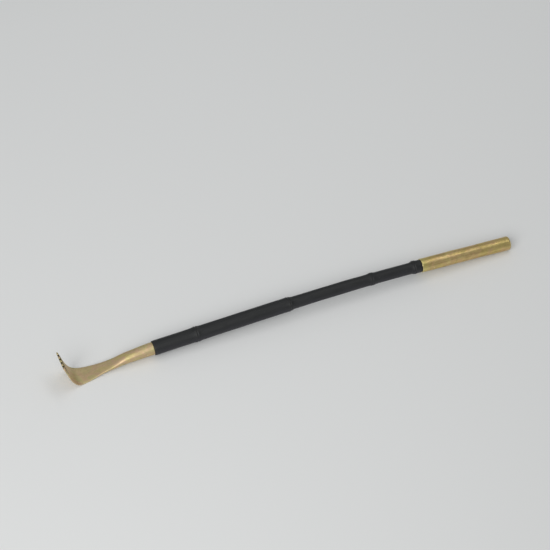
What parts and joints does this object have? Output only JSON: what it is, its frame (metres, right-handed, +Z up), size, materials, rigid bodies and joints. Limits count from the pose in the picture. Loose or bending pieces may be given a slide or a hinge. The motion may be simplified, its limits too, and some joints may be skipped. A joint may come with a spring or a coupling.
{
  "type": "long back scratcher",
  "caption": "Long back scratcher lying on its heel: toothed brass head turned up at the end, black lacquered bamboo cane and closed brass tube handle.",
  "frame": {"origin": "under the middle of the object's box, on the surface it lies on", "axes": "+X along the cane towards the handle, +Y across the blade, +Z up, the way the finger tips point"},
  "size_m": [0.5438, 0.0284, 0.0364],
  "materials": {
    "head_brass": "satin, aged, hand rubbed",
    "handle_brass": "polished by hand, fine lengthwise scratches",
    "pin_brass": "filed flush and rubbed",
    "black_cane": "black lacquer over bamboo, satin"
  },
  "bodies": {
    "root": {"scratcher_head": "head_brass", "head_pin": "pin_brass", "cane_shaft": "black_cane", "handle_tube": "handle_brass", "handle_end_cap": "handle_brass", "handle_pin": "pin_brass"}
  },
  "joints": []
}
